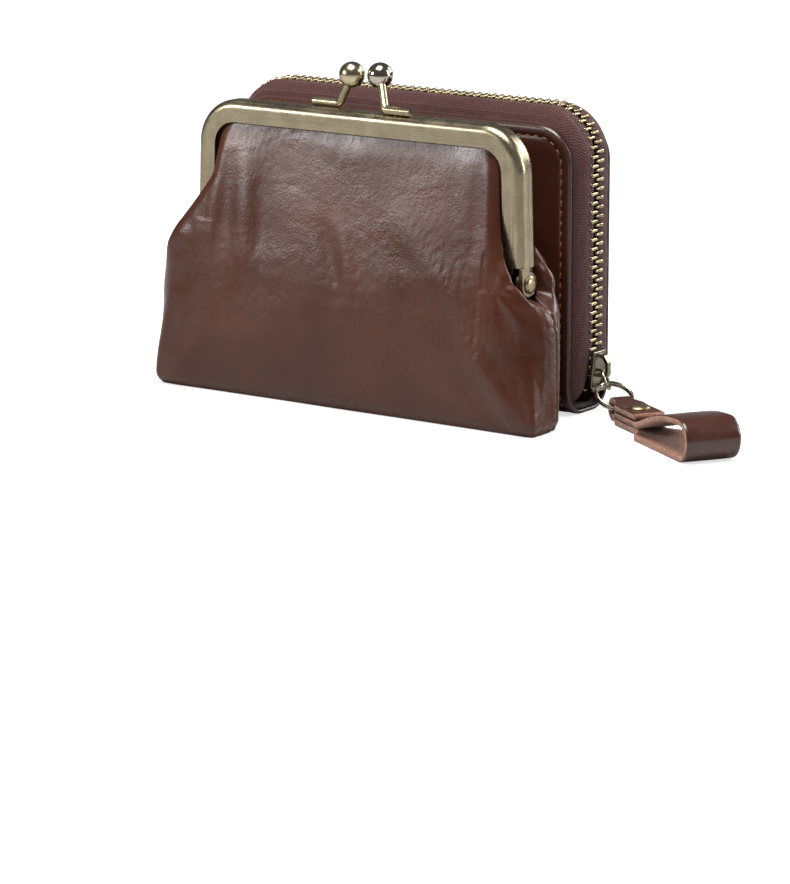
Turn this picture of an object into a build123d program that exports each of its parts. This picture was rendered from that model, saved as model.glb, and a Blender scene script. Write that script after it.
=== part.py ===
from build123d import *
from math import atan2, cos, degrees, pi, radians, sin, sqrt
import os

os.makedirs("parts", exist_ok=True)

# ---------------------------------------------------------------- dimensions
# Row frame: X across the purse (+X is the slider's side), -Y towards the
# coin pouch, +Z up, origin under the middle of the spine.

# zip wallet
cover_w = 110.0          # cover width
cover_h = 77.5           # cover height above the table
cover_t = 1.6            # cover leather
wallet_t = 20.0          # outer face to outer face
cover_r = 10.5           # top corner radius
fold_r = 7.0             # outer radius of the spine's two bends
board_t = 0.8            # stiffener board
lining_t = 0.8           # lining
half_t = wallet_t / 2
half_w = cover_w / 2

# zip
zip_x = 56.6             # tape's outer face at the chain, on the sides
zip_top = 82.0           # the same at the top
zip_r = 13.3             # the tape's corner radius at the chain
tape_t = 0.7
tape_foot = 7.2          # lower end of the tapes
tooth_pitch = 2.45
tooth_w = 1.0            # along the chain
tooth_t = 2.3            # across the tape
tooth_root = 2.9         # distance of a tooth's root from the chain's middle
tooth_head = 0.55        # how far a head reaches past the middle
chain_foot = 9.6         # first tooth

# kiss-lock pouch
split_y = -27.0          # plane between the two frame halves
pivot_z = 38.4
frame_depth = 3.45       # one half, front to back
frame_face = 6.0         # width of the bright face
frame_bot = 53.85        # outer half-width at the pivots
frame_top_x = 52.5       # outer half-width at the top corners
frame_z = 79.6           # top of the frame
frame_r = 12.5           # outer corner radius
wall = 0.8
lug_r = 3.3
lug_t = 1.15
rivet_r = 0.9
pouch_t = 1.5            # pouch leather
ball_r = 3.45
rod_r = 1.15

# pull and strap
slider_z0 = 6.0
slider_len = 11.0
ring_wire = 0.42
strap_t = 1.7


def arch(half_low, half_high, foot, top, radius):
    """Closed arch outline, straight foot, two rounded top corners."""
    with BuildSketch() as s:
        with BuildLine():
            Polyline(
                (-half_low, foot), (half_low, foot),
                (half_high, top), (-half_high, top),
                close=True,
            )
        make_face()
        fillet(s.vertices().group_by(Axis.Y)[-1], radius)
    return s.sketch


def panel(y_low, y_high, half, foot, top, radius):
    """Upright plate between two Y planes."""
    with BuildPart() as p:
        with BuildSketch(Plane.XZ.offset(-y_high)):
            add(arch(half, half, foot, top, radius))
        extrude(amount=y_high - y_low)
    return p.part


# ---------------------------------------------------------------- wallet
# front cover: plate, front bend and the flat base of the spine in one strip
with BuildPart() as front_cover:
    add(panel(-half_t, -half_t + cover_t, half_w, fold_r, cover_h, cover_r))
    with BuildSketch(Plane.YZ.offset(-half_w)):
        with BuildLine():
            Line((-half_t, fold_r), (-half_t + cover_t, fold_r))
            CenterArc((-half_t + fold_r, fold_r), fold_r - cover_t, 180, 90)
            Line((-half_t + fold_r, cover_t), (half_t - fold_r, cover_t))
            Line((half_t - fold_r, cover_t), (half_t - fold_r, 0))
            Line((half_t - fold_r, 0), (-half_t + fold_r, 0))
            CenterArc((-half_t + fold_r, fold_r), fold_r, 180, 90)
        make_face()
    extrude(amount=cover_w)
front_cover.part.label = "front_cover"
export_step(front_cover.part, "parts/front_cover.step")

# the spine's rear bend
with BuildPart() as rear_fold:
    with BuildSketch(Plane.YZ.offset(-half_w)):
        with BuildLine():
            Line((half_t, fold_r), (half_t - cover_t, fold_r))
            CenterArc((half_t - fold_r, fold_r), fold_r - cover_t, 270, 90)
            Line((half_t - fold_r, cover_t), (half_t - fold_r, 0))
            CenterArc((half_t - fold_r, fold_r), fold_r, 270, 90)
        make_face()
    extrude(amount=cover_w)
rear_fold.part.label = "rear_fold"
export_step(rear_fold.part, "parts/rear_fold.step")

with BuildPart() as back_cover:
    add(panel(half_t - cover_t, half_t, half_w, fold_r, cover_h, cover_r))
back_cover.part.label = "back_cover"
export_step(back_cover.part, "parts/back_cover.step")

board_y = half_t - cover_t
with BuildPart() as front_stiffener:
    add(panel(-board_y, -board_y + board_t, 52.0, 8.0, 74.5, 8.0))
front_stiffener.part.label = "front_stiffener"
export_step(front_stiffener.part, "parts/front_stiffener.step")

with BuildPart() as back_stiffener:
    add(panel(board_y - board_t, board_y, 52.0, 8.0, 74.5, 8.0))
back_stiffener.part.label = "back_stiffener"
export_step(back_stiffener.part, "parts/back_stiffener.step")

lining_y = board_y - board_t
with BuildPart() as front_lining:
    add(panel(-lining_y, -lining_y + lining_t, 52.6, 7.4, 75.2, 8.4))
front_lining.part.label = "front_lining"
export_step(front_lining.part, "parts/front_lining.step")

with BuildPart() as back_lining:
    add(panel(lining_y - lining_t, lining_y, 52.6, 7.4, 75.2, 8.4))
back_lining.part.label = "back_lining"
export_step(back_lining.part, "parts/back_lining.step")


def pocket(y_wall, y_open, half, foot, top, sign):
    """Pocket leaf with its two side seams and its bottom seam.

    y_wall is where it is sewn on, y_open its free face; sign is the way the
    leaf faces.
    """
    leaf = 0.7
    low, high = min(y_wall, y_open), max(y_wall, y_open)
    with BuildPart() as p:
        with BuildSketch(Plane.XZ.offset(-high)):
            Polygon((-half, foot), (half, foot), (half, top), (-half, top), align=None)
        extrude(amount=high - low)
        cut_low = low + leaf if sign < 0 else low
        cut_high = high if sign < 0 else high - leaf
        with BuildSketch(Plane.XZ.offset(-cut_high)):
            Polygon(
                (-half + 1.5, foot + 1.5), (half - 1.5, foot + 1.5),
                (half - 1.5, top + 1), (-half + 1.5, top + 1), align=None,
            )
        extrude(amount=cut_high - cut_low, mode=Mode.SUBTRACT)
    return p.part


pocket_y = lining_y - lining_t          # inner face of the linings
with BuildPart() as front_pocket:
    add(pocket(-pocket_y, -pocket_y + 1.3, 49.0, 10.0, 60.0, 1))
front_pocket.part.label = "front_pocket"
export_step(front_pocket.part, "parts/front_pocket.step")

with BuildPart() as card_pocket_1:
    add(pocket(pocket_y, pocket_y - 1.2, 49.0, 10.0, 64.0, -1))
card_pocket_1.part.label = "card_pocket_1"
export_step(card_pocket_1.part, "parts/card_pocket_1.step")

with BuildPart() as card_pocket_2:
    add(pocket(pocket_y - 1.2, pocket_y - 2.4, 49.0, 10.0, 55.0, -1))
card_pocket_2.part.label = "card_pocket_2"
export_step(card_pocket_2.part, "parts/card_pocket_2.step")

with BuildPart() as card_pocket_3:
    add(pocket(pocket_y - 2.4, pocket_y - 3.6, 49.0, 10.0, 46.0, -1))
card_pocket_3.part.label = "card_pocket_3"
export_step(card_pocket_3.part, "parts/card_pocket_3.step")


# ---------------------------------------------------------------- zip
def tape(side):
    """Zip tape: a thin arch that bows out from the cover's edge."""
    rows = [
        (8.35, 54.2, 76.7, 9.7),
        (5.4, 56.3, 81.4, 12.9),
        (tooth_root, zip_x, zip_top, zip_r),
    ]
    with BuildPart() as p:
        for a, b in zip(rows[:-1], rows[1:]):
            for d, foot, mode in ((0, tape_foot, Mode.ADD), (tape_t, tape_foot - 2, Mode.SUBTRACT)):
                for y, w, top, r in (a, b):
                    with BuildSketch(Plane.XZ.offset(-side * y)):
                        add(arch(w - d, w - d, foot, top - d, r - d))
                loft(ruled=True, mode=mode)
    return p.part


with BuildPart() as zipper_tape_front:
    add(tape(-1))
zipper_tape_front.part.label = "zipper_tape_front"
export_step(zipper_tape_front.part, "parts/zipper_tape_front.step")

with BuildPart() as zipper_tape_back:
    add(tape(1))
zipper_tape_back.part.label = "zipper_tape_back"
export_step(zipper_tape_back.part, "parts/zipper_tape_back.step")

# the chain's middle line: up the right side, over the top, down the left
chain_x = zip_x - tape_t / 2
chain_top = zip_top - tape_t / 2
chain_r = zip_r - tape_t / 2
run_side = chain_top - chain_r - chain_foot
run_arc = chain_r * pi / 2
run_top = 2 * (chain_x - chain_r)
chain_len = 2 * run_side + 2 * run_arc + run_top


def chain_point(s):
    """Position (x, z) and outward angle on the chain's middle line."""
    cx, cz = chain_x - chain_r, chain_top - chain_r
    if s < run_side:
        return chain_x, chain_foot + s, 0.0
    s -= run_side
    if s < run_arc:
        a = s / chain_r
        return cx + chain_r * cos(a), cz + chain_r * sin(a), degrees(a)
    s -= run_arc
    if s < run_top:
        return cx - s, chain_top, 90.0
    s -= run_top
    if s < run_arc:
        a = pi / 2 + s / chain_r
        return -cx + chain_r * cos(a), cz + chain_r * sin(a), degrees(a)
    s -= run_arc
    return -chain_x, cz - s, 180.0


tooth_count = int(chain_len / tooth_pitch)
tooth_len = tooth_root + tooth_head


def tooth_places(side, phase):
    places = []
    for i in range(tooth_count):
        s = (i + phase) * tooth_pitch
        if s > chain_len:
            continue
        x, z, a = chain_point(s)
        y = side * (tooth_root - tooth_len / 2)
        places.append(Location((x, y, z), (0, -a, 0)))
    return places


with BuildPart() as zipper_teeth_front:
    with Locations(*tooth_places(-1, 0.25)):
        Box(tooth_t, tooth_len, tooth_w)
zipper_teeth_front.part.label = "zipper_teeth_front"
export_step(zipper_teeth_front.part, "parts/zipper_teeth_front.step")

with BuildPart() as zipper_teeth_back:
    with Locations(*tooth_places(1, 0.75)):
        Box(tooth_t, tooth_len, tooth_w)
zipper_teeth_back.part.label = "zipper_teeth_back"
export_step(zipper_teeth_back.part, "parts/zipper_teeth_back.step")

# crimped end stops, one at each end of each tape
with BuildPart() as zipper_stops_front:
    with Locations((chain_x, -2.1, 7.9), (-chain_x, -2.1, 7.9)):
        Box(2.3, 1.59, 1.3)
zipper_stops_front.part.label = "zipper_stops_front"
export_step(zipper_stops_front.part, "parts/zipper_stops_front.step")

with BuildPart() as zipper_stops_back:
    with Locations((chain_x, 2.1, 7.9), (-chain_x, 2.1, 7.9)):
        Box(2.3, 1.59, 1.3)
zipper_stops_back.part.label = "zipper_stops_back"
export_step(zipper_stops_back.part, "parts/zipper_stops_back.step")

# slider: outer and inner plate, the divider between them, and the bridge
plate_out = chain_x + tooth_t / 2 + 0.15
plate_in = chain_x - tooth_t / 2 - 0.15
plate_t = 0.9
slider_z1 = slider_z0 + slider_len
with BuildPart() as slider_body:
    with BuildSketch(Plane.YZ.offset(plate_out)):
        Polygon(
            (-3.9, slider_z0 + 1.5), (-2.4, slider_z0), (2.4, slider_z0), (3.9, slider_z0 + 1.5),
            (3.9, slider_z0 + 5.0), (2.9, slider_z1), (-2.9, slider_z1), (-3.9, slider_z0 + 5.0),
            align=None,
        )
    extrude(amount=plate_t)
    fillet(slider_body.faces().sort_by(Axis.X)[-1].edges(), 0.35)
    with BuildSketch(Plane.YZ.offset(plate_in - plate_t)):
        Polygon(
            (-3.5, slider_z0 + 1.5), (-2.2, slider_z0), (2.2, slider_z0), (3.5, slider_z0 + 1.5),
            (3.5, slider_z0 + 5.0), (2.7, slider_z1), (-2.7, slider_z1), (-3.5, slider_z0 + 5.0),
            align=None,
        )
    extrude(amount=plate_t)
    # divider
    with BuildSketch(Plane.YZ.offset(plate_in)):
        Polygon(
            (-1.1, slider_z0 + 0.2), (1.1, slider_z0 + 0.2), (0.45, slider_z0 + 2.6), (-0.45, slider_z0 + 2.6),
            align=None,
        )
    extrude(amount=plate_out - plate_in)
    # bridge
    with BuildSketch(Plane.XZ.offset(-0.8)):
        with BuildLine():
            Polyline(
                (plate_out + plate_t - 0.2, 10.0), (plate_out + plate_t + 2.3, 10.0),
                (plate_out + plate_t + 2.9, 10.8), (plate_out + plate_t + 2.9, 14.2),
                (plate_out + plate_t + 1.7, 16.0), (plate_out + plate_t - 0.2, 16.4),
                (plate_out + plate_t - 0.2, 15.5), (plate_out + plate_t + 1.2, 15.1),
                (plate_out + plate_t + 2.05, 13.8), (plate_out + plate_t + 2.05, 10.85),
                (plate_out + plate_t - 0.2, 10.85), close=True,
            )
        make_face()
    extrude(amount=1.6)
slider_body.part.label = "slider_body"
export_step(slider_body.part, "parts/slider_body.step")


# ---------------------------------------------------------------- kiss-lock frame
frame_grow = (frame_bot - frame_top_x) / (frame_z - pivot_z)


def frame_arch(inset, foot, top=None, radius=None):
    """The frame's outline, drawn in by inset and cut off at foot."""
    high = frame_z - inset if top is None else top
    return arch(
        frame_bot - frame_grow * (foot - pivot_z) - inset,
        frame_bot - frame_grow * (high - pivot_z) - inset,
        foot, high, frame_r - inset if radius is None else radius,
    )


def frame_half(y_in, y_out):
    """One channel half between the split plane and its bright face."""
    side = 1 if y_out > y_in else -1
    low, high = min(y_in, y_out), max(y_in, y_out)
    foot = pivot_z + 4.6
    with BuildPart() as p:
        with BuildSketch(Plane.XZ.offset(-high)):
            add(frame_arch(0, foot))
        extrude(amount=high - low)
        rim = [
            e for e in p.edges()
            if abs(e.center().Y - y_out) < 1e-4 and e.center().Z > foot + 0.01
        ]
        fillet(rim, 2.3)
        # window inside the frame
        with BuildSketch(Plane.XZ.offset(-high - 1)):
            add(frame_arch(frame_face, foot - 5))
        extrude(amount=high - low + 2, mode=Mode.SUBTRACT)
        # channel for the leather
        slot_low = low + wall
        slot_high = high - wall
        with BuildSketch(Plane.XZ.offset(-slot_high)):
            add(frame_arch(1.25, foot - 5))
        extrude(amount=slot_high - slot_low, mode=Mode.SUBTRACT)
    return p.part


def lug(x_low, x_high, y_bar_low, y_bar_high, hole):
    """Round pivot ear and the strap that joins it to the side bar."""
    foot = pivot_z + 4.6
    with BuildPart() as p:
        with BuildSketch(Plane.YZ.offset(x_low)):
            with Locations((split_y, pivot_z)):
                Circle(lug_r)
            Polygon(
                (y_bar_low, pivot_z), (y_bar_high, pivot_z),
                (y_bar_high, foot + 0.05), (y_bar_low, foot + 0.05), align=None,
            )
            with Locations((split_y, pivot_z)):
                Circle(hole, mode=Mode.SUBTRACT)
        extrude(amount=x_high - x_low)
    return p.part


y_gap = 0.05
lug_out = frame_bot - 0.25               # outer face of the outer ears
front_low, front_high = split_y - y_gap - frame_depth, split_y - y_gap
back_low, back_high = split_y + y_gap, split_y + y_gap + frame_depth

with BuildPart() as frame_front:
    add(frame_half(front_high, front_low))
    add(lug(lug_out - lug_t, lug_out, front_low + 0.25, front_high, rivet_r + 0.05))
    add(lug(-lug_out, -lug_out + lug_t, front_low + 0.25, front_high, rivet_r + 0.05))
frame_front.part.label = "frame_front"
export_step(frame_front.part, "parts/frame_front.step")

inner_out = lug_out - lug_t - 0.1
with BuildPart() as frame_back:
    add(frame_half(back_low, back_high))
    add(lug(inner_out - lug_t, inner_out, back_low, back_high - 0.25, rivet_r + 0.02))
    add(lug(-inner_out, -inner_out + lug_t, back_low, back_high - 0.25, rivet_r + 0.02))
frame_back.part.label = "frame_back"
export_step(frame_back.part, "parts/frame_back.step")

# two identical pivots
with BuildPart() as frame_rivets:
    for sx in (1, -1):
        with BuildSketch(Plane.XY):
            with BuildLine():
                base_x = inner_out - lug_t - 0.05
                Polyline(
                    (sx * (base_x - 0.8), 0), (sx * (base_x - 0.8), 1.5), (sx * base_x, 1.9),
                    (sx * base_x, rivet_r), (sx * (lug_out + 0.05), rivet_r),
                    (sx * (lug_out + 0.05), 2.4), (sx * (lug_out + 0.45), 2.35),
                    (sx * (lug_out + 0.85), 1.9), (sx * (lug_out + 1.05), 1.2),
                    (sx * (lug_out + 1.1), 0), close=True,
                )
            make_face()
        revolve(axis=Axis.X)
rivets = Pos(0, split_y, pivot_z) * frame_rivets.part
rivets.label = "frame_rivets"
export_step(rivets, "parts/frame_rivets.step")


# packing cord wedged in each channel
def cord_ring(y_mid):
    foot = pivot_z + 7.0
    w = 0.75
    with BuildPart() as p:
        with BuildSketch(Plane.XZ.offset(-y_mid - w)):
            add(frame_arch(1.35, foot))
            add(frame_arch(2.75, foot - 5), mode=Mode.SUBTRACT)
        extrude(amount=2 * w)
    return p.part


mid_front = (front_low + front_high) / 2
mid_back = (back_low + back_high) / 2
with BuildPart() as paper_cord_front:
    add(cord_ring(mid_front))
paper_cord_front.part.label = "paper_cord_front"
export_step(paper_cord_front.part, "parts/paper_cord_front.step")

with BuildPart() as paper_cord_back:
    add(cord_ring(mid_back))
paper_cord_back.part.label = "paper_cord_back"
export_step(paper_cord_back.part, "parts/paper_cord_back.step")

# clasp: a foot rod on each half, bent up to its ball
foot_z = frame_z + rod_r + 0.02
ball_z = 89.0
left_ball = (-3.6, -26.6, ball_z)
right_ball = (3.6, -23.8, ball_z)


def clasp_post(sx, foot_y, ball):
    bend = (sx * 8.6, foot_y, foot_z)
    with BuildPart() as p:
        with BuildLine() as path:
            FilletPolyline(
                (sx * 17.0, foot_y, foot_z), bend,
                (ball[0] + (bend[0] - ball[0]) * 0.25, foot_y + (ball[1] - foot_y) * 0.75,
                 foot_z + (ball[2] - foot_z) * 0.75),
                radius=1.6,
            )
        with BuildSketch(path.line ^ 0):
            Circle(rod_r)
        sweep()
    return p.part


with BuildPart() as clasp_post_left:
    add(clasp_post(-1, mid_back, left_ball))
with BuildPart() as clasp_ball_left:
    with Locations(left_ball):
        Sphere(ball_r)

with BuildPart() as clasp_post_right:
    add(clasp_post(1, mid_front, right_ball))
with BuildPart() as clasp_ball_right:
    with Locations(right_ball):
        Sphere(ball_r)


# ---------------------------------------------------------------- pouch
# lower bag, cut at the side seams, and an upper wall that runs up into the
# channel of its frame half
bag_top = 33.0
bag_rows = [
    (0.0, 57.0, -35.9, -11.0, 6.0),
    (3.5, 59.6, -36.9, -10.3, 7.0),
    (12.0, 60.6, -37.4, -10.05, 8.0),
    (26.0, 60.8, -37.2, -10.05, 9.0),
    (bag_top, 57.0, -36.4, -11.6, 9.0),
]


def bag(grow, top_open):
    """Solid bag, shrunk by grow on every side and raised by it underneath."""
    with BuildPart() as p:
        for z, w, y0, y1, r in bag_rows:
            zz = z + grow if z == 0.0 else z
            if top_open and z == bag_top:
                zz = z + 0.01
            with BuildSketch(Plane.XY.offset(zz)):
                with Locations((0, (y0 + y1) / 2)):
                    RectangleRounded(2 * (w - grow), (y1 - y0) - 2 * grow, r - min(grow, 3))
        loft(ruled=True)
    return p.part


def bag_shell(outer, inner, y_low, y_high):
    with BuildPart() as p:
        add(bag(outer, False))
        add(bag(inner, True), mode=Mode.SUBTRACT)
        with Locations((0, (y_low + y_high) / 2, 20)):
            Box(140, y_high - y_low, 60, mode=Mode.INTERSECT)
    return p.part


seam_y = -26.5


def wall_profile(points, thick, sign):
    """Closed strip through (y, z) points, offset by thick towards sign."""
    inner = [(y + sign * thick, z) for y, z in points]
    return points + inner[::-1]


def upper_wall(points, thick, sign, half):
    with BuildPart() as p:
        with BuildSketch(Plane.YZ.offset(-half)):
            Polygon(*wall_profile(points, thick, sign), align=None)
        extrude(amount=2 * half)
    return p.part


sheet = 1.4
slot_in = 0.1
front_face = mid_front - sheet / 2
back_face = mid_back + sheet / 2
front_pts = [(-36.4, 32.9), (-35.9, 40.0), (-34.2, 52.0), (-31.8, 62.0), (front_face, 71.0)]
back_pts = [(-11.6, 32.9), (-12.8, 40.0), (-16.5, 52.0), (-20.6, 62.0), (back_face, 71.0)]


def flange(y_mid):
    """Leather edge inside the channel."""
    foot = pivot_z + 7.0
    with BuildPart() as p:
        with BuildSketch(Plane.XZ.offset(-y_mid - sheet / 2)):
            add(frame_arch(2.9, foot))
            add(frame_arch(8.0, foot - 5, 70.9, 4.0), mode=Mode.SUBTRACT)
        extrude(amount=sheet)
    return p.part


upper_half = frame_top_x - frame_face - 0.35
with BuildPart() as pouch_front_panel:
    add(bag_shell(0.0, pouch_t, -60, seam_y - 0.02))
    add(upper_wall(front_pts, pouch_t, 1, upper_half))
    add(flange(mid_front))
pouch_front_panel.part.label = "pouch_front_panel"
export_step(pouch_front_panel.part, "parts/pouch_front_panel.step")

with BuildPart() as pouch_back_panel:
    add(bag_shell(0.0, pouch_t, seam_y + 0.02, 0))
    add(upper_wall(back_pts, pouch_t, -1, upper_half))
    add(flange(mid_back))
pouch_back_panel.part.label = "pouch_back_panel"
export_step(pouch_back_panel.part, "parts/pouch_back_panel.step")

lin_t = 0.6
lin_off = pouch_t + 0.05
front_lin = [(y + lin_off, z) for y, z in front_pts[:-1]]
back_lin = [(y - lin_off, z) for y, z in back_pts[:-1]]
with BuildPart() as pouch_lining_front:
    add(bag_shell(lin_off, lin_off + lin_t, -60, seam_y - 0.02))
    add(upper_wall(front_lin, lin_t, 1, upper_half - 1.0))
pouch_lining_front.part.label = "pouch_lining_front"
export_step(pouch_lining_front.part, "parts/pouch_lining_front.step")

with BuildPart() as pouch_lining_back:
    add(bag_shell(lin_off, lin_off + lin_t, seam_y + 0.02, 0))
    add(upper_wall(back_lin, lin_t, -1, upper_half - 1.0))
pouch_lining_back.part.label = "pouch_lining_back"
export_step(pouch_lining_back.part, "parts/pouch_lining_back.step")

# each ball is bored where its post enters
with BuildPart() as ball_left_bored:
    add(clasp_ball_left.part)
    add(clasp_post_left.part, mode=Mode.SUBTRACT)
with BuildPart() as ball_right_bored:
    add(clasp_ball_right.part)
    add(clasp_post_right.part, mode=Mode.SUBTRACT)

clasp_post_left.part.label = "clasp_post_left"
export_step(clasp_post_left.part, "parts/clasp_post_left.step")
clasp_post_right.part.label = "clasp_post_right"
export_step(clasp_post_right.part, "parts/clasp_post_right.step")
ball_left_bored.part.label = "clasp_ball_left"
export_step(ball_left_bored.part, "parts/clasp_ball_left.step")
ball_right_bored.part.label = "clasp_ball_right"
export_step(ball_right_bored.part, "parts/clasp_ball_right.step")


# ---------------------------------------------------------------- rings and strap
eye_x = plate_out + plate_t + 0.95       # where the small ring runs in the bridge
eye_z = 11.8
hang = radians(20.5)                     # the small ring leans out by this much
turn = radians(-25.0)                    # and is turned towards the strap
jump_r = 2.6
down = Vector(sin(hang) * cos(turn), -sin(hang) * sin(turn), -cos(hang))
across = Vector(sin(turn), cos(turn), 0)
jump_c = Vector(eye_x, 0, eye_z) + down * jump_r
jump_n = down.cross(across).normalized()
with BuildPart() as jump_ring:
    with Locations(Plane(origin=jump_c, x_dir=across, z_dir=jump_n)):
        Torus(jump_r, ring_wire)
jump_ring.part.label = "jump_ring"
export_step(jump_ring.part, "parts/jump_ring.step")

strap_dir = Vector(0.84, -0.5426, 0).normalized()
side_dir = Vector(0, 0, 1).cross(strap_dir).normalized()
link = jump_c + down * (jump_r - ring_wire - 1.0)   # where the two rings cross
split_r = 5.0
drop_z = 3.2                                        # height of the wire in the strap's fold
fall = (link.Z - drop_z) / (2 * split_r)
lie = Vector(strap_dir.X * sqrt(1 - fall ** 2), strap_dir.Y * sqrt(1 - fall ** 2), -fall)
split_c = link + lie * split_r
split_n = side_dir.cross(lie).normalized()
with BuildPart() as split_ring:
    for d in (-0.38, 0.38):
        with Locations(Plane(origin=split_c + split_n * d, x_dir=lie, z_dir=split_n)):
            Torus(split_r, ring_wire)
split_ring.part.label = "split_ring"
export_step(split_ring.part, "parts/split_ring.step")

fold_c = split_c + lie * split_r                    # wire inside the strap's fold
strap_plane = Plane(origin=(fold_c.X, fold_c.Y, 0), x_dir=strap_dir, z_dir=side_dir * -1)
tongue_w = 8.6
loop_w = 15.2
tab_end = 17.5
rivet_s = 11.0
loop_end = 55.0


with BuildPart() as wrist_strap:
    # side view of the whole strip: tab, fold over the ring, lower strand,
    # loop end and upper strand
    with BuildSketch(strap_plane.offset(-loop_w / 2)):
        with BuildLine():
            Polyline((tab_end, 5.6), (6.5, 5.6), (0, 6.4))
            CenterArc((0, 3.2), 3.2, 90, 180)
            Line((0, 0), (loop_end - 5, 0))
            CenterArc((loop_end - 5, 5.6), 5.6, -90, 180)
            Spline((loop_end - 5, 11.2), (40, 10.4), (28, 6.6), (20, 4.1), (tab_end + 0.6, 3.7),
                   tangents=((-1, 0), (-1, -0.03)))
            Polyline((tab_end + 0.6, 3.7), (3.2, 3.7), (3.2, 2.0), (tab_end + 0.6, 2.0))
            Spline((tab_end + 0.6, 2.0), (21, 2.6), (29, 5.0), (40.4, 8.72), (loop_end - 5, 9.5),
                   tangents=((1, 0.03), (1, 0)))
            CenterArc((loop_end - 5, 5.6), 3.9, 90, -180)
            Line((loop_end - 5, strap_t), (0, strap_t))
            CenterArc((0, 3.2), 3.2 - strap_t, -90, -180)
            Polyline((0, 4.7), (6.5, 3.9), (tab_end, 3.9), (tab_end, 5.6))
        make_face()
    extrude(amount=loop_w)
    # narrow tongue and tab
    for sgn in (1, -1):
        with BuildSketch(Plane(origin=(fold_c.X, fold_c.Y, -1), x_dir=strap_dir, z_dir=(0, 0, 1))):
            Polygon(
                (-8, sgn * 2.4), (1.2, sgn * 2.4), (5.5, sgn * tongue_w / 2),
                (tab_end + 0.3, sgn * tongue_w / 2),
                (tab_end + 7.0, sgn * (loop_w / 2 + 0.01)), (tab_end + 7.0, sgn * 12), (-8, sgn * 12),
                align=None,
            )
        extrude(amount=14, mode=Mode.SUBTRACT)
    # rivet hole through the three layers
    with Locations((fold_c.X + strap_dir.X * rivet_s, fold_c.Y + strap_dir.Y * rivet_s, 3)):
        Cylinder(1.25, 10, mode=Mode.SUBTRACT)
wrist_strap.part.label = "wrist_strap"
export_step(wrist_strap.part, "parts/wrist_strap.step")

rivet_at = Vector(fold_c.X + strap_dir.X * rivet_s, fold_c.Y + strap_dir.Y * rivet_s, 0)
with BuildPart() as strap_rivet_cap:
    with BuildSketch(Plane.XZ):
        with BuildLine():
            Polyline((0, 0), (2.9, 0), (2.95, 0.2), (2.6, 0.5), (1.9, 0.78), (1.0, 0.93), (0, 0.96),
                     close=True)
        make_face()
    revolve(axis=Axis.Z)
cap = Pos(rivet_at.X, rivet_at.Y, 5.62) * strap_rivet_cap.part
cap.label = "strap_rivet_cap"
export_step(cap, "parts/strap_rivet_cap.step")

with BuildPart() as strap_rivet_post:
    with Locations((rivet_at.X, rivet_at.Y, (0.25 + 5.61) / 2)):
        Cylinder(1.2, 5.61 - 0.25)
strap_rivet_post.part.label = "strap_rivet_post"
export_step(strap_rivet_post.part, "parts/strap_rivet_post.step")

print("eye", eye_x, 0, eye_z)
print("jump", jump_c, jump_n, down, across)
print("link", link, "split_c", split_c, split_n, lie)
print("fold", fold_c, "side", side_dir)
print("teeth", tooth_count)
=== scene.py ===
import math

import bmesh
import bpy
import numpy as np
from mathutils import Matrix, Vector


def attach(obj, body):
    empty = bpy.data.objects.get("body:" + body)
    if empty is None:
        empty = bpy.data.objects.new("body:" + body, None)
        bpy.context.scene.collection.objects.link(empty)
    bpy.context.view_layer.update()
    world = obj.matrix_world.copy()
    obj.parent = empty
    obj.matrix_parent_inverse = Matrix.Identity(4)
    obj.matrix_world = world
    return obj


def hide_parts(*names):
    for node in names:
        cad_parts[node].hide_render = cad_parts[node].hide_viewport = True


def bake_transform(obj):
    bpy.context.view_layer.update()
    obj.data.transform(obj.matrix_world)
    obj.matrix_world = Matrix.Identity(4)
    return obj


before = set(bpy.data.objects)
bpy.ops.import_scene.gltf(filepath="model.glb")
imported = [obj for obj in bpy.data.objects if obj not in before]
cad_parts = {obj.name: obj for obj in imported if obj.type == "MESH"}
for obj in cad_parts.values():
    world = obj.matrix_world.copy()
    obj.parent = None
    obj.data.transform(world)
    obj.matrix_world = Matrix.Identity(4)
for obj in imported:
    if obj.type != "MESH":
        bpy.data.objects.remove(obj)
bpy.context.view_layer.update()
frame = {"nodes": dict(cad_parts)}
MM = 0.001
rng = np.random.default_rng(7)


# ------------------------------------------------------------------ helpers
def hermite(xs, ys, q):
    """Smooth curve through (xs, ys), tangents limited so that it doesn't overshoot."""
    xs, ys, q = np.asarray(xs, float), np.asarray(ys, float), np.asarray(q, float)
    h = np.diff(xs)
    d = np.diff(ys) / h
    m = np.empty_like(ys)
    m[0], m[-1] = d[0], d[-1]
    for i in range(1, len(ys) - 1):
        if d[i - 1] * d[i] <= 0:
            m[i] = 0
        else:
            w1, w2 = 2 * h[i] + h[i - 1], h[i] + 2 * h[i - 1]
            m[i] = (w1 + w2) / (w1 / d[i - 1] + w2 / d[i])
    i = np.clip(np.searchsorted(xs, q) - 1, 0, len(h) - 1)
    t = np.clip((q - xs[i]) / h[i], 0, 1)
    return (
        (2 * t**3 - 3 * t**2 + 1) * ys[i]
        + (t**3 - 2 * t**2 + t) * h[i] * m[i]
        + (-2 * t**3 + 3 * t**2) * ys[i + 1]
        + (t**3 - t**2) * h[i] * m[i + 1]
    )


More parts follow.
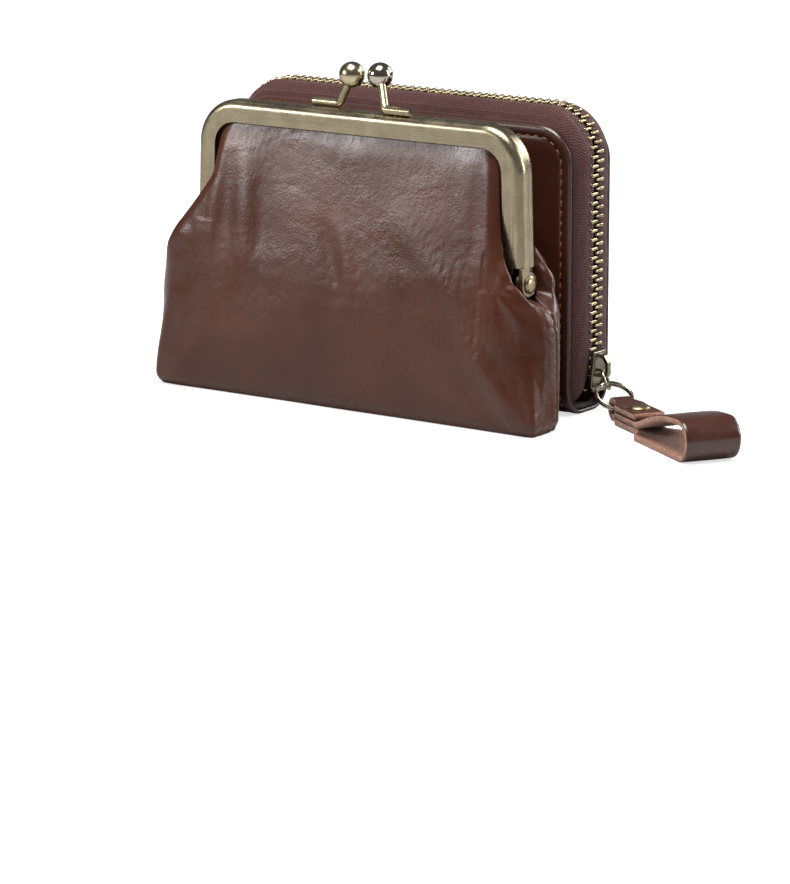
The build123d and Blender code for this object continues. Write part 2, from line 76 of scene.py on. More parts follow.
def through(points, n):
    """Points along a smooth curve through control points.

    n is how many points to space evenly, or how many steps each span gets.
    """
    p = np.asarray(points, float)
    t = np.concatenate([[0], np.cumsum(np.linalg.norm(np.diff(p, axis=0), axis=1) ** 0.6 + 1e-6)])
    m = np.empty_like(p)
    m[1:-1] = (p[2:] - p[:-2]) / (t[2:] - t[:-2])[:, None]
    m[0] = (p[1] - p[0]) / (t[1] - t[0])
    m[-1] = (p[-1] - p[-2]) / (t[-1] - t[-2])
    if isinstance(n, int):
        q = np.linspace(0, t[-1], n * 4)
    else:
        q = np.concatenate([np.linspace(t[k], t[k + 1], c, endpoint=False) for k, c in enumerate(n)] + [[t[-1]]])
    i = np.clip(np.searchsorted(t, q, side="right") - 1, 0, len(t) - 2)
    h = (t[i + 1] - t[i])[:, None]
    u = ((q - t[i])[:, None]) / h
    c = (
        (2 * u**3 - 3 * u**2 + 1) * p[i] + (u**3 - 2 * u**2 + u) * h * m[i]
        + (-2 * u**3 + 3 * u**2) * p[i + 1] + (u**3 - u**2) * h * m[i + 1]
    )
    if not isinstance(n, int):
        return c
    s = np.concatenate([[0], np.cumsum(np.linalg.norm(np.diff(c, axis=0), axis=1))])
    g = np.linspace(0, s[-1], n)
    return np.stack([np.interp(g, s, c[:, k]) for k in range(p.shape[1])], axis=1)


def mesh_obj(name, verts_mm, faces, mats, uv=None, fmat=None, smooth=True):
    me = bpy.data.meshes.new(name)
    me.from_pydata([tuple(v) for v in np.asarray(verts_mm, float) * MM], [], faces)
    me.validate()
    o = bpy.data.objects.new(name, me)
    bpy.context.scene.collection.objects.link(o)
    for m in mats:
        me.materials.append(m)
    if smooth:
        me.polygons.foreach_set("use_smooth", [True] * len(me.polygons))
    if fmat is not None:
        me.polygons.foreach_set("material_index", list(fmat)[: len(me.polygons)])
    if uv is not None:
        layer = me.uv_layers.new(name="UVMap")
        idx = np.empty(len(me.loops), int)
        me.loops.foreach_get("vertex_index", idx)
        layer.data.foreach_set("uv", np.asarray(uv, float)[idx].ravel())
    me.update()
    return o


def grid_faces(nr, nc, flip=False, wrap=False, base=0):
    f = []
    for r in range(nr - 1):
        for c in range(nc if wrap else nc - 1):
            a, b = r * nc + c, r * nc + (c + 1) % nc
            d, e = (r + 1) * nc + c, (r + 1) * nc + (c + 1) % nc
            q = (a, b, e, d)
            f.append(tuple(base + i for i in (q[::-1] if flip else q)))
    return f


def lattice(p, seed):
    """Smooth value noise in [-1, 1] at points p (any number of columns)."""
    p = np.asarray(p, float)
    i = np.floor(p).astype(int)
    f = p - i
    f = f * f * (3 - 2 * f)
    out = np.zeros(len(p))
    n = p.shape[1]
    for corner in range(2**n):
        bits = [(corner >> k) & 1 for k in range(n)]
        h = np.zeros(len(p), dtype=np.int64) + seed * 7919
        w = np.ones(len(p))
        for k in range(n):
            h = h * 31 + (i[:, k] + bits[k]) * (73856093 + 19349663 * k)
            w = w * (f[:, k] if bits[k] else 1 - f[:, k])
        h = (h ^ (h >> 13)) * 1274126177 & 0x7FFFFFFF
        out += w * ((h % 20011) / 10005.5 - 1)
    return out


def crease(x, z, a, b, width, amp):
    """A soft ridge (amp > 0) or valley along the segment a to b in x, z."""
    a, b = np.array(a, float), np.array(b, float)
    d = b - a
    t = np.clip(((x - a[0]) * d[0] + (z - a[1]) * d[1]) / (d @ d), 0, 1)
    dist = np.hypot(x - a[0] - t * d[0], z - a[1] - t * d[1])
    return amp * np.exp(-((dist / width) ** 2)) * np.sin(np.pi * np.clip(t * 0.86 + 0.07, 0, 1)) ** 0.6


# ------------------------------------------------------------------ materials
class Nodes:
    def __init__(self, name):
        self.mat = bpy.data.materials.new(name)
        self.mat.use_nodes = True
        self.t = self.mat.node_tree
        self.b = self.t.nodes["Principled BSDF"]

    def n(self, kind, **kw):
        o = self.t.nodes.new(kind)
        for k, v in kw.items():
            setattr(o, k, v)
        return o

    def l(self, a, b):
        self.t.links.new(a, b)

    def coords(self, kind="Object", scale=(1, 1, 1)):
        c = self.n("ShaderNodeTexCoord")
        m = self.n("ShaderNodeMapping")
        m.inputs["Scale"].default_value = scale
        self.l(c.outputs[kind], m.inputs["Vector"])
        return m.outputs["Vector"]

    def noise(self, vec, scale, detail=4.0, rough=0.55, distort=0.0):
        o = self.n("ShaderNodeTexNoise")
        o.inputs["Scale"].default_value = scale
        o.inputs["Detail"].default_value = detail
        o.inputs["Roughness"].default_value = rough
        o.inputs["Distortion"].default_value = distort
        self.l(vec, o.inputs["Vector"])
        return o.outputs["Fac"]

    def voronoi(self, vec, scale, feature="F1"):
        o = self.n("ShaderNodeTexVoronoi", feature=feature)
        o.inputs["Scale"].default_value = scale
        self.l(vec, o.inputs["Vector"])
        return o.outputs["Distance"]

    def ramp(self, fac, stops):
        o = self.n("ShaderNodeValToRGB")
        e = o.color_ramp.elements
        while len(e) < len(stops):
            e.new(0.5)
        for k, (p, c) in enumerate(stops):
            e[k].position = p
            e[k].color = (*c, 1) if len(c) == 3 else c
        self.l(fac, o.inputs["Fac"])
        return o.outputs["Color"]

    def span(self, fac, lo, hi, a, b):
        o = self.n("ShaderNodeMapRange")
        for k, v in zip(("From Min", "From Max", "To Min", "To Max"), (lo, hi, a, b)):
            o.inputs[k].default_value = v
        self.l(fac, o.inputs["Value"])
        return o.outputs["Result"]

    def math(self, op, a, b=None, clamp=False):
        o = self.n("ShaderNodeMath", operation=op, use_clamp=clamp)
        for i, v in enumerate((a, b)):
            if v is None:
                continue
            if isinstance(v, (int, float)):
                o.inputs[i].default_value = v
            else:
                self.l(v, o.inputs[i])
        return o.outputs[0]

    def mix(self, fac, a, b):
        o = self.n("ShaderNodeMix", data_type="RGBA")
        if isinstance(fac, (int, float)):
            o.inputs[0].default_value = fac
        else:
            self.l(fac, o.inputs[0])
        for i, v in ((6, a), (7, b)):
            if isinstance(v, tuple):
                o.inputs[i].default_value = (*v, 1)
            else:
                self.l(v, o.inputs[i])
        return o.outputs[2]

    def bump(self, height, strength, distance, below=None):
        o = self.n("ShaderNodeBump")
        o.inputs["Strength"].default_value = strength
        o.inputs["Distance"].default_value = distance
        self.l(height, o.inputs["Height"])
        if below is not None:
            self.l(below, o.inputs["Normal"])
        return o.outputs["Normal"]

    def done(self, color=None, rough=None, normal=None, **fixed):
        if color is not None:
            self.l(color, self.b.inputs["Base Color"])
        if rough is not None:
            if isinstance(rough, (int, float)):
                self.b.inputs["Roughness"].default_value = rough
            else:
                self.l(rough, self.b.inputs["Roughness"])
        if normal is not None:
            self.l(normal, self.b.inputs["Normal"])
        for k, v in fixed.items():
            self.b.inputs[k.replace("_", " ")].default_value = v
        return self.mat


def leather(name, deep, mid, light, rough=(0.26, 0.42), grain=1.0, coat=0.25, wrinkle=1.0, spec=0.42):
    m = Nodes(name)
    v = m.coords()
    cloud = m.noise(v, 38, 3, 0.6)
    fine = m.noise(v, 420, 5, 0.65)
    col = m.ramp(cloud, [(0.25, deep), (0.52, mid), (0.80, light)])
    pore = m.voronoi(v, 1500)
    speck = m.span(pore, 0.0, 0.35, 0.72, 1.0)
    shade = m.n("ShaderNodeMix", data_type="RGBA", blend_type="MULTIPLY")
    shade.inputs[0].default_value = 0.55
    m.l(col, shade.inputs[6])
    m.l(speck, shade.inputs[7])
    r = m.span(m.noise(v, 90, 4), 0.3, 0.7, rough[0], rough[1])
    b1 = m.bump(pore, 0.20 * grain, 0.00010)
    b2 = m.bump(fine, 0.30 * grain, 0.00022, b1)
    folds = m.voronoi(m.coords(scale=(1.0, 1.0, 0.62)), 620, "SMOOTH_F1")
    patch = m.span(m.noise(v, 24, 2), 0.42, 0.66, 0.15, 1.0)
    b2 = m.bump(m.math("MULTIPLY", folds, patch), 0.55 * wrinkle, 0.00028, b2)
    b3 = m.bump(m.noise(v, 110, 4, 0.6, 0.9), 0.22 * wrinkle, 0.00060, b2)
    return m.done(
        shade.outputs[2], r, b3, Coat_Weight=coat, Coat_Roughness=0.17, Specular_IOR_Level=spec,
        IOR=1.5,
    )


def suede(name, deep, light):
    m = Nodes(name)
    v = m.coords()
    col = m.ramp(m.noise(v, 900, 6, 0.75), [(0.3, deep), (0.62, light), (0.8, tuple(c * 1.25 for c in light))])
    b = m.bump(m.noise(v, 1500, 5, 0.8), 0.9, 0.0004)
    return m.done(col, 0.95, b, Specular_IOR_Level=0.15, Sheen_Weight=0.25, Sheen_Roughness=0.5)


def metal(name, base, dark, rough=(0.22, 0.38), brushed=False, patina=0.35):
    m = Nodes(name)
    v = m.coords()
    spots = m.noise(v, 160, 5, 0.6)
    col = m.ramp(spots, [(0.30, tuple(a * (1 - patina) + b * patina for a, b in zip(base, dark))), (0.62, base)])
    r = m.span(m.noise(v, 260, 4), 0.3, 0.7, rough[0], rough[1])
    nrm = m.bump(m.noise(v, 700, 4), 0.05, 0.0001)
    if brushed:
        along_x = m.noise(m.coords(scale=(30, 2600, 2600)), 1.0, 3, 0.6)
        along_z = m.noise(m.coords(scale=(2600, 2600, 30)), 1.0, 3, 0.6)
        sep = m.n("ShaderNodeSeparateXYZ")
        m.l(m.coords(), sep.inputs[0])
        side = m.span(m.math("ABSOLUTE", sep.outputs[0]), 0.0440, 0.0475, 0.0, 1.0)
        mixf = m.n("ShaderNodeMix", data_type="FLOAT")
        m.l(side, mixf.inputs[0])
        m.l(along_x, mixf.inputs[2])
        m.l(along_z, mixf.inputs[3])
        lines = mixf.outputs[0]
        nrm = m.bump(lines, 0.12, 0.00012, nrm)
        r = m.math("ADD", r, m.span(lines, 0.3, 0.7, -0.06, 0.08))
        col = m.mix(m.span(lines, 0.35, 0.75, 0.0, 0.35), col, dark)
    return m.done(col, r, nrm, Metallic=1.0)


def cloth(name, a, b, size=0.6):
    """Plain weave in object coordinates, thread spacing in millimetres."""
    m = Nodes(name)
    v = m.coords()
    sep = m.n("ShaderNodeSeparateXYZ")
    m.l(v, sep.inputs[0])
    k = 2 * math.pi / (size * MM)
    wx = m.math("SINE", m.math("MULTIPLY", sep.outputs[0], k))
    wz = m.math("SINE", m.math("MULTIPLY", sep.outputs[2], k))
    w = m.math("MULTIPLY", wx, wz)
    col = m.mix(m.span(w, -1, 1, 0, 1), a, b)
    nrm = m.bump(w, 0.5, 0.00012, m.bump(m.noise(v, 1200, 4), 0.3, 0.0001))
    return m.done(col, 0.85, nrm, Specular_IOR_Level=0.25, Sheen_Weight=0.2)


def herringbone(name, a, b):
    """Twill tape, on UVs in millimetres: u along the tape, v across it."""
    m = Nodes(name)
    c = m.n("ShaderNodeTexCoord")
    sep = m.n("ShaderNodeSeparateXYZ")
    m.l(c.outputs["UV"], sep.inputs[0])
    u, v = sep.outputs[0], sep.outputs[1]
    band = m.math("SIGN", m.math("SUBTRACT", m.math("FRACT", m.math("DIVIDE", v, 2.0)), 0.5))
    slant = m.math("ADD", u, m.math("MULTIPLY", band, v))
    s = m.math("SINE", m.math("MULTIPLY", slant, 2 * math.pi / 0.72))
    cross = m.math("SINE", m.math("MULTIPLY", v, 2 * math.pi / 0.5))
    h = m.math("ADD", s, m.math("MULTIPLY", cross, 0.35))
    vec = m.coords()
    n = m.noise(vec, 300, 4)
    col = m.mix(m.span(h, -1.3, 1.3, 0, 1), a, b)
    col = m.mix(m.span(n, 0.3, 0.7, 0.0, 0.25), col, tuple(x * 0.6 for x in a))
    nrm = m.bump(h, 0.75, 0.00016, m.bump(m.noise(vec, 2500, 3), 0.25, 0.00008))
    return m.done(col, 0.72, nrm, Specular_IOR_Level=0.3, Sheen_Weight=0.08, Sheen_Roughness=0.4)


def board(name, a, b):
    m = Nodes(name)
    v = m.coords()
    col = m.mix(m.span(m.noise(v, 900, 5, 0.7), 0.3, 0.7, 0, 1), a, b)
    return m.done(col, 0.9, m.bump(m.noise(v, 1500, 5), 0.3, 0.0001), Specular_IOR_Level=0.2)


M_POUCH = leather("pouch_leather", (0.036, 0.0090, 0.0038), (0.051, 0.0130, 0.0054), (0.072, 0.0190, 0.0080), coat=0.05, spec=0.36)
M_COVER = leather("cover_leather", (0.026, 0.0070, 0.0034), (0.038, 0.0100, 0.0046), (0.054, 0.0146, 0.0068),
                  rough=(0.30, 0.44), wrinkle=0.5)
M_STRAP = leather("strap_leather", (0.034, 0.0100, 0.0060), (0.048, 0.0142, 0.0086), (0.066, 0.0205, 0.0125),
                  rough=(0.22, 0.36), wrinkle=0.45, coat=0.35)
M_POCKET = leather("pocket_leather", (0.040, 0.015, 0.009), (0.062, 0.023, 0.013), (0.086, 0.033, 0.019),
                   rough=(0.5, 0.65), coat=0.0)
M_EDGE = leather("painted_edge", (0.012, 0.005, 0.004), (0.018, 0.008, 0.006), (0.028, 0.012, 0.009),
                 rough=(0.35, 0.5), wrinkle=0.2)
M_SUEDE = suede("strap_flesh_side", (0.10, 0.040, 0.024), (0.36, 0.170, 0.105))
M_TAPE = herringbone("zip_tape", (0.024, 0.0070, 0.0064), (0.108, 0.0340, 0.0300))
M_LINING = cloth("lining_cloth", (0.045, 0.022, 0.016), (0.085, 0.045, 0.032))
M_FRAME = metal("frame_brass", (0.36, 0.305, 0.205), (0.08, 0.062, 0.036), (0.24, 0.36), brushed=True, patina=0.3)
M_RIVET = metal("rivet_brass", (0.36, 0.29, 0.17), (0.07, 0.05, 0.03), (0.25, 0.4), patina=0.6)
M_BALL = metal("ball_brass", (0.50, 0.44, 0.29), (0.16, 0.12, 0.07), (0.20, 0.30), patina=0.35)
M_NICKEL = metal("ball_nickel", (0.50, 0.46, 0.38), (0.15, 0.12, 0.09), (0.09, 0.16), patina=0.3)
M_ZIP = metal("zip_metal", (0.38, 0.31, 0.185), (0.05, 0.035, 0.018), (0.20, 0.34), patina=0.6)
M_SLIDER = metal("slider_metal", (0.21, 0.185, 0.13), (0.03, 0.025, 0.02), (0.18, 0.34), patina=0.7)
M_RING = metal("ring_metal", (0.44, 0.40, 0.31), (0.08, 0.06, 0.04), (0.14, 0.26), patina=0.5)
M_BOARD = board("board", (0.30, 0.23, 0.15), (0.42, 0.33, 0.23))
M_CORD = board("paper_cord", (0.40, 0.31, 0.20), (0.58, 0.47, 0.32))
thread = Nodes("orange_thread")
_tv = thread.coords()
M_THREAD = thread.done(
    thread.ramp(thread.noise(_tv, 2200, 3), [(0.3, (0.11, 0.030, 0.010)), (0.7, (0.27, 0.080, 0.028))]),
    0.6, thread.bump(thread.noise(_tv, 5000, 2), 0.4, 0.00006), Sheen_Weight=0.2,
)

# ------------------------------------------------------------------ carried-over CAD nodes
by_node = frame["nodes"]


def node_obj(name):
    o = by_node[name] if not isinstance(by_node, list) else None
    if isinstance(o, bpy.types.Object):
        return o
    return bpy.data.objects[name]


def dress(names, mat, bevel=0.0):
    for name in names:
        o = node_obj(name)
        if o.data.materials:
            for i in range(len(o.data.materials)):
                o.material_slots[i].material = mat
        else:
            o.data.materials.append(mat)
        if bevel:
            b = o.modifiers.new("soft_edges", "BEVEL")
            b.width = bevel * MM
            b.segments = 2
            b.limit_method = "ANGLE"
            b.angle_limit = math.radians(40)


dress(["frame_front", "frame_back"], M_FRAME)
dress(["clasp_post_left", "clasp_post_right"], M_FRAME)
dress(["clasp_ball_left"], M_BALL)
dress(["clasp_ball_right"], M_NICKEL)
dress(["frame_rivets", "strap_rivet_cap", "strap_rivet_post"], M_RIVET)
dress(["slider_body"], M_SLIDER)
dress(["jump_ring", "split_ring"], M_RING)
dress(["zipper_stops_front", "zipper_stops_back"], M_ZIP, 0.2)
dress(["front_stiffener", "back_stiffener"], M_BOARD)
dress(["paper_cord_front", "paper_cord_back"], M_CORD)
dress(["front_lining", "back_lining"], M_LINING)
dress(["front_pocket", "card_pocket_1", "card_pocket_2", "card_pocket_3"], M_POCKET)

# ------------------------------------------------------------------ pouch leather
FRONT_Y, BACK_Y, SEAM_Y = -28.775, -25.225, -26.5
# z, then x and y of: inside the channel or at the seam, its mouth, the tuck,
# the widest point, the corner, the middle third, and y at the centre
FRONT = np.array([
    # z     E0x   E0y     Ex    Ey      Tx    Ty      Ax    Ay      Cx    Cy      Mx    My      Fy
    [0.7,  60.6, -26.5,  60.9, -28.0,  61.0, -30.0,  61.0, -33.4,  59.9, -36.4,  40.0, -36.6, -36.6],
    [3.0,  62.0, -26.5,  62.2, -28.0,  62.2, -30.0,  62.0, -33.4,  60.4, -37.0,  40.0, -37.7, -37.7],
    [8.0,  62.3, -26.5,  62.4, -28.0,  62.3, -30.0,  61.7, -33.2,  59.6, -37.0,  40.0, -38.1, -38.2],
    [15.0, 62.3, -26.5,  62.3, -27.9,  62.1, -29.7,  61.1, -32.6,  57.8, -36.6,  40.0, -38.1, -38.4],
    [22.0, 62.2, -26.5,  62.1, -27.8,  61.7, -29.5,  60.4, -32.0,  55.8, -36.0,  39.0, -37.7, -38.1],
    [27.0, 61.9, -26.5,  61.7, -27.8,  61.2, -29.4,  59.8, -31.7,  54.8, -35.6,  38.5, -37.3, -37.7],
    [31.0, 60.4, -26.5,  60.4, -27.7,  60.0, -29.3,  58.8, -31.5,  54.0, -35.3,  38.0, -36.9, -37.2],
    [33.2, 57.4, -26.5,  57.9, -28.0,  58.2, -29.6,  57.6, -31.6,  53.2, -35.2,  37.0, -36.7, -37.0],
    [34.5, 53.6, -26.8,  54.6, -28.8,  56.0, -30.2,  56.6, -31.8,  52.6, -35.2,  37.0, -36.6, -36.8],
    [36.0, 50.7, -28.1,  51.2, -29.9,  53.4, -31.0,  55.4, -32.3,  51.8, -35.2,  37.0, -36.4, -36.6],
    [38.5, 49.2, -28.7,  48.8, -29.8,  50.4, -31.2,  53.2, -32.9,  50.2, -35.2,  36.0, -36.1, -36.2],
    [42.0, 49.6, -28.8,  47.5, -29.3,  48.2, -31.2,  51.0, -33.0,  48.2, -35.2,  35.0, -35.5, -35.6],
    [46.0, 50.0, -28.8,  47.2, -29.0,  47.4, -31.1,  49.4, -32.7,  46.4, -34.7,  34.0, -34.8, -34.9],
    [52.0, 50.0, -28.8,  47.1, -28.9,  46.8, -30.7,  47.8, -31.9,  44.8, -33.7,  33.0, -33.8, -33.8],
    [58.0, 50.0, -28.8,  47.0, -28.9,  46.5, -30.1,  46.6, -31.2,  43.6, -32.7,  33.0, -32.6, -32.6],
    [64.0, 49.8, -28.8,  46.9, -28.8,  46.2, -29.7,  45.8, -30.5,  42.8, -31.6,  33.0, -31.4, -31.3],
    [70.0, 49.2, -28.8,  46.4, -28.8,  45.4, -29.2,  44.6, -29.7,  41.6, -30.3,  32.0, -30.1, -30.0],
    [73.2, 47.8, -28.8,  45.2, -28.8,  44.2, -28.9,  43.2, -29.1,  40.4, -29.4,  31.0, -29.3, -29.2],
    [75.4, 45.0, -28.8,  44.4, -28.8,  43.6, -28.8,  42.6, -28.8,  40.0, -28.8,  30.0, -28.8, -28.8],
])
BACK = np.array([
    [0.7,  60.6, -26.5,  60.5, -25.0,  59.4, -23.0,  56.6, -19.5,  51.4, -13.4,  35.0, -11.0, -10.7],
    [3.0,  62.0, -26.5,  61.6, -25.0,  60.2, -23.0,  57.4, -19.4,  52.0, -12.9,  35.0, -10.5, -10.2],
    [8.0,  62.3, -26.5,  61.7, -25.0,  60.3, -23.0,  57.6, -19.4,  52.2, -12.8,  35.0, -10.4, -10.15],
    [15.0, 62.3, -26.5,  61.7, -25.0,  60.4, -23.0,  57.8, -19.4,  52.4, -12.8,  35.0, -10.4, -10.15],
    [22.0, 62.2, -26.5,  61.7, -25.0,  60.4, -23.0,  57.8, -19.4,  52.4, -12.8,  35.0, -10.4, -10.15],
    [27.0, 61.9, -26.5,  61.5, -25.0,  60.3, -23.0,  57.8, -19.4,  52.2, -12.9,  35.0, -10.5, -10.2],
    [31.0, 60.4, -26.5,  60.5, -25.0,  59.8, -23.0,  57.7, -19.6,  52.0, -13.2,  35.0, -10.8, -10.5],
    [33.2, 57.4, -26.5,  58.6, -24.7,  59.0, -22.7,  57.5, -19.7,  51.8, -13.6,  35.0, -11.3, -10.9],
    [34.5, 54.8, -26.0,  57.0, -24.0,  58.4, -22.4,  57.3, -19.8,  51.6, -13.9,  35.0, -11.6, -11.2],
    [36.0, 53.0, -23.3,  55.6, -22.8,  57.6, -21.9,  57.0, -19.9,  51.4, -14.2,  34.5, -12.0, -11.6],
    [38.5, 50.6, -23.2,  53.6, -22.6,  56.4, -21.9,  56.6, -20.0,  51.0, -14.9,  34.0, -12.8, -12.3],
    [42.0, 49.4, -24.6,  50.4, -22.9,  54.2, -22.3,  55.2, -20.4,  49.8, -16.0,  33.5, -13.9, -13.4],
    [46.0, 49.8, -25.2,  47.6, -23.4,  50.0, -22.4,  51.6, -20.8,  47.8, -17.2,  33.0, -15.4, -15.0],
    [52.0, 50.0, -25.2,  46.8, -24.4,  46.9, -23.0,  48.0, -21.6,  45.2, -19.2,  33.0, -17.8, -17.4],
    [58.0, 50.0, -25.2,  46.7, -24.7,  46.4, -23.6,  46.6, -22.6,  43.6, -21.0,  33.0, -20.0, -19.7],
    [64.0, 49.8, -25.2,  46.7, -25.0,  46.0, -24.3,  45.6, -23.6,  42.6, -22.6,  32.5, -22.0, -21.8],
    [70.0, 49.2, -25.2,  46.4, -25.2,  45.4, -24.8,  44.6, -24.4,  41.6, -24.0,  32.0, -23.8, -23.7],
    [73.2, 47.8, -25.2,  45.2, -25.2,  44.2, -25.1,  43.2, -25.0,  40.4, -24.8,  31.0, -24.8, -24.8],
    [75.4, 45.0, -25.2,  44.4, -25.2,  43.6, -25.2,  42.6, -25.2,  40.0, -25.2,  30.0, -25.2, -25.2],
])
# the left side stands fuller and slumps over the frame's bar: extra width by height
LEFT_Z = [0, 3, 22, 31, 35.5, 40.3, 44.7, 48, 51.3, 55.8, 60, 76]
LEFT_X = [1.2, 1.6, 2.6, 4.2, 6.4, 8.6, 8.0, 6.4, 4.6, 2.2, 0.4, 0]


def pouch_panel(name, table, seam, inner_mat, seed):
    zs = table[:, 0]
    rows_z = np.concatenate([
        np.linspace(0.7, 3.0, 5, endpoint=False), np.linspace(3.0, 27, 30, endpoint=False),
        np.linspace(27, 50, 42, endpoint=False), np.linspace(50, 75.4, 34),
    ])
    steps = [6, 8, 12, 22, 26, 36]
    steps = steps + steps[::-1]
    ncol = sum(steps) + 1
    verts, uvs = [], []
    sections = []
    for z in rows_z:
        v = [hermite(zs, table[:, k], [z])[0] for k in range(1, table.shape[1])]
        right = [(v[2 * i], v[2 * i + 1]) for i in range(6)]
        grow = hermite(LEFT_Z, LEFT_X, [z])[0]
        if table is BACK:
            grow *= 0.45
        low = float(np.clip((34.0 - z) / 3.0, 0, 1))
        share = (0.45 * low, 0.6 * low, 0.55 + 0.25 * low, 1.0, 0.8, 0.0)
        lift = -1.3 * float(np.clip((46.0 - z) / 20.0, 0, 1)) if table is FRONT and z > 0.7 else 0.0
        left = [(-x - grow * k, y + (lift * (k if i > 2 else 0.5 * low) if i > 1 else 0.0) * (0.4 if i == 4 else 1.0))
                for i, ((x, y), k) in enumerate(zip(right, share))]
        left[5] = (-right[5][0], right[5][1])
        ctrl = left + [(0.0, v[12])] + right[::-1]
        sections.append(through(ctrl, steps))
    # underside
    first = sections[0]
    under = []
    for k, zz in ((0.0, 0.30), (0.3, 0.15), (0.6, 0.05), (0.85, 0.0), (0.95, 0.12), (0.985, 0.34)):
        s = first.copy()
        s[:, 1] = seam + (s[:, 1] - seam) * k
        s[:, 0] *= 0.90 + 0.10 * k
        under.append((s, zz))
    table_rows = [(s, np.full(ncol, zz)) for s, zz in under] + [
        (s, np.full(ncol, z)) for s, z in zip(sections, rows_z)
    ]
    P = np.array([np.column_stack([s[:, 0], s[:, 1], z]) for s, z in table_rows])
    nr = len(P)
    # displacement along the surface normal
    du = np.gradient(P, axis=1)
    dv = np.gradient(P, axis=0)
    N = np.cross(du, dv)
    N /= np.linalg.norm(N, axis=2, keepdims=True) + 1e-9
    out = 1 if table is BACK else -1
    flipn = np.sign(np.median(N[nr // 2, ncol // 2 - 20: ncol // 2 + 20, 1])) * out
    N *= flipn
    x, y, z = P[..., 0].ravel(), P[..., 1].ravel(), P[..., 2].ravel()
    q = np.column_stack([x, y, z])
    disp = 0.26 * lattice(q / [22, 22, 18], seed) + 0.03 * lattice(q / [7.5, 7.5, 6.0], seed + 1)
    disp += 0.012 * lattice(q / 2.3, seed + 2)
    if table is FRONT:
        disp += crease(x, z, (-35.5, 66), (-33.0, 33), 4.0, 0.50)
        disp += crease(x, z, (-40.5, 62), (-40.0, 40), 3.2, -0.35)
        disp += crease(x, z, (-29.5, 60), (-27.5, 38), 3.4, -0.28)
        disp += crease(x, z, (-7.0, 48), (-1.0, 32), 2.6, -0.40)
        disp += crease(x, z, (-2.0, 50), (3.0, 33), 2.4, 0.25)
        disp += crease(x, z, (18, 52), (40, 30), 4.5, 0.35)
        disp += crease(x, z, (60.5, 0), (41, 22), 3.2, 0.85)
        disp += crease(x, z, (54, 1), (38, 15), 3.2, -0.55)
        disp += crease(x, z, (-60.5, 0), (-46, 14), 3.0, 0.5)
        disp += crease(x, z, (43.6, 70), (45.2, 42), 2.0, 0.25)
        disp += crease(x, z, (-43.6, 70), (-45.2, 42), 2.0, 0.2)
        disp += crease(x, z, (40.4, 70), (41.4, 44), 2.6, -0.2)
    # pleats gathered under each pivot
    for sx in (1, -1):
        ang = np.arctan2(z - 37.0, np.maximum(sx * x - 48.5, 0.01) + 0 * z)
        rad = np.hypot(z - 37.0, sx * x - 48.5)
        near = np.exp(-(((rad - 9) / 7.5) ** 2)) * (sx * x > 44) * (z < 47)
        disp += (0.26 if (table is BACK or sx > 0) else 0.10) * near * np.sin((ang + 0.06 * y) * 6.5 + 1.2 * sx)
    # seam pull: short puckers along the side seam
    near_seam = np.exp(-(((y - SEAM_Y) / 2.2) ** 2)) * (z < 33) * (np.abs(x) > 50)
    disp += near_seam * (0.10 * np.sin(z * 2 * math.pi / 2.6)) - 0.30 * np.exp(-(((y - SEAM_Y) / 0.5) ** 2)) * (z < 31) * (np.abs(x) > 50)
    fade = np.clip((74 - z) / 6, 0, 1) * np.clip((z + 0.2) / 2.5, 0.05, 1)
    Q = P.reshape(-1, 3) + N.reshape(-1, 3) * (disp * fade)[:, None]
    Q[:, 2] = np.maximum(Q[:, 2], 0.0)
    if table is BACK:
        Q[:, 1] = np.minimum(Q[:, 1], -10.06)
    u = np.cumsum(np.linalg.norm(du, axis=2), axis=1)
    vv = np.cumsum(np.linalg.norm(dv, axis=2), axis=0)
    uv = np.column_stack([u.ravel(), vv.ravel()])
    faces = grid_faces(nr, ncol, flip=(flipn < 0))
    o = mesh_obj(name, Q, faces, [M_POUCH, inner_mat, M_EDGE], uv)
    s = o.modifiers.new("thickness", "SOLIDIFY")
    s.thickness = 1.1 * MM
    s.offset = -1
    s.material_offset = 1
    s.material_offset_rim = 2
    return o, Q.reshape(nr, ncol, 3), N


pouch_front, PF, PFN = pouch_panel("pouch_front_leather", FRONT, SEAM_Y, M_LINING, 11)
pouch_back, PB, PBN = pouch_panel("pouch_back_leather", BACK, SEAM_Y, M_LINING, 23)
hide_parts("pouch_front_panel", "pouch_lining_front")
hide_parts("pouch_back_panel", "pouch_lining_back")
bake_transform(pouch_front)
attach(pouch_back, "front_half")


# ------------------------------------------------------------------ stitches
def stitch_mesh(name, places, mat, radius=0.19, length=1.9):
    """places: rows of position, tangent and outward normal, in millimetres."""
    ring, lon = 8, 6
    verts, faces = [], []
    for p, t, n in places:
        p, t, n = np.array(p, float), np.array(t, float), np.array(n, float)
        t /= np.linalg.norm(t)
        n -= t * (n @ t)
        n /= np.linalg.norm(n)
        s = np.cross(t, n)
        base = len(verts)
        for i in range(lon + 1):
            a = -1 + 2 * i / lon
            r = radius * math.sqrt(max(0.0, 1 - abs(a) ** 3)) + 0.02
            for k in range(ring):
                th = 2 * math.pi * k / ring
                verts.append(p + t * (a * length / 2) + (s * math.cos(th) + n * math.sin(th)) * r
                             - n * 0.28 * a * a)
        faces += grid_faces(lon + 1, ring, wrap=True, base=base)
        faces.append(tuple(base + k for k in range(ring))[::-1])
        faces.append(tuple(base + lon * ring + k for k in range(ring)))
    o = mesh_obj(name, verts, faces, [mat])
    return o


